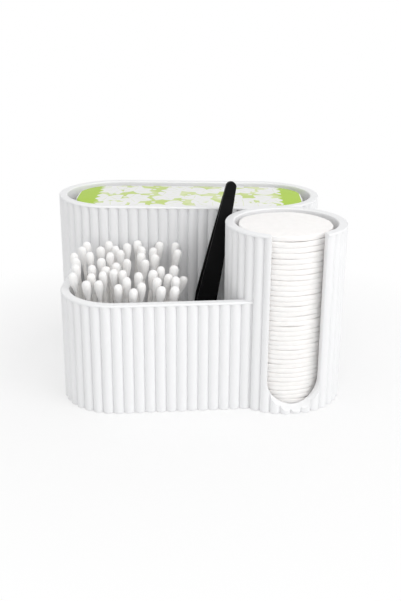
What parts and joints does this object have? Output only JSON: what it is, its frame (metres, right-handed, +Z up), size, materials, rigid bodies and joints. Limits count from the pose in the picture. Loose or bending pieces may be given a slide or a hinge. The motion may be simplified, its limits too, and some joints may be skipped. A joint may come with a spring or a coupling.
{
  "type": "makeup organizer",
  "caption": "Ribbed countertop makeup organizer with a pad tower, a tall bin and a low tray, stocked with cotton pads, liners, cotton swabs and tweezers.",
  "frame": {"origin": "on the table, under the middle of the whole organizer's footprint", "axes": "+X to the viewer's right along the tall bin, +Y to the back, towards the tall bin, +Z up"},
  "size_m": [0.1888, 0.1526, 0.1325],
  "materials": {
    "shell": "satin off-white moulded plastic",
    "feet": "matt, slightly translucent",
    "cotton": "soft matt cotton",
    "print": "soft printed wrap, pale green with a plant pattern",
    "paper": "matt rolled paper",
    "black": "satin black coating on spring steel"
  },
  "bodies": {
    "organizer": {"tall_bin": "shell", "pad_tower": "shell", "swab_tray": "shell", "foot_pads": "feet"},
    "pad_stack": {"cotton_pads": "cotton"},
    "top_pad": {"top_cotton_pad": "cotton"},
    "liner_stack": {"liners": "cotton"},
    "printed_liner": {"top_liner": "print"},
    "swab_bunch": {"swab_sticks": "paper", "swab_lower_buds": "cotton", "swab_upper_buds": "cotton"},
    "loose_swab": {"loose_swab_stick": "paper", "loose_swab_lower_bud": "cotton", "loose_swab_upper_bud": "cotton"},
    "tweezers": {"tweezers_end": "black"},
    "front_arm": {"tweezers_front_arm": "black"},
    "back_arm": {"tweezers_back_arm": "black"}
  },
  "joints": [
    {"name": "pad_stack_lift", "type": "slide", "parent": "organizer", "child": "pad_stack", "axis": [0, 0, 1], "range_m": [0, 0.112]},
    {"name": "top_pad_lift", "type": "slide", "parent": "pad_stack", "child": "top_pad", "axis": [0, 0, 1], "range_m": [0, 0.03]},
    {"name": "liner_stack_lift", "type": "slide", "parent": "organizer", "child": "liner_stack", "axis": [0, 0, 1], "range_m": [0, 0.112]},
    {"name": "top_liner_lift", "type": "slide", "parent": "liner_stack", "child": "printed_liner", "axis": [0, 0, 1], "range_m": [0, 0.03]},
    {"name": "swab_bunch_lift", "type": "slide", "parent": "organizer", "child": "swab_bunch", "axis": [0, 0, 1], "range_m": [0, 0.08]},
    {"name": "loose_swab_pull", "type": "slide", "parent": "swab_bunch", "child": "loose_swab", "axis": [0.342, 0, 0.9397], "range_m": [0, 0.07]},
    {"name": "tweezers_lift", "type": "slide", "parent": "organizer", "child": "tweezers", "axis": [0, 0, 1], "range_m": [0, 0.12]},
    {"name": "front_arm_squeeze", "type": "hinge", "parent": "tweezers", "child": "front_arm", "pos_m": [0.02205, -0.02072, 0.12244], "axis": [0.9633, 0.1736, -0.2048], "range_deg": [0, 1.1], "stiffness_Nm_per_rad": 0.5},
    {"name": "back_arm_squeeze", "type": "hinge", "parent": "tweezers", "child": "back_arm", "pos_m": [0.02169, -0.01865, 0.12251], "axis": [0.9633, 0.1736, -0.2048], "range_deg": [-1.1, 0], "stiffness_Nm_per_rad": 0.5}
  ],
  "couplings": [
    {"joint": "back_arm_squeeze", "follows": "front_arm_squeeze", "ratio": -1}
  ]
}
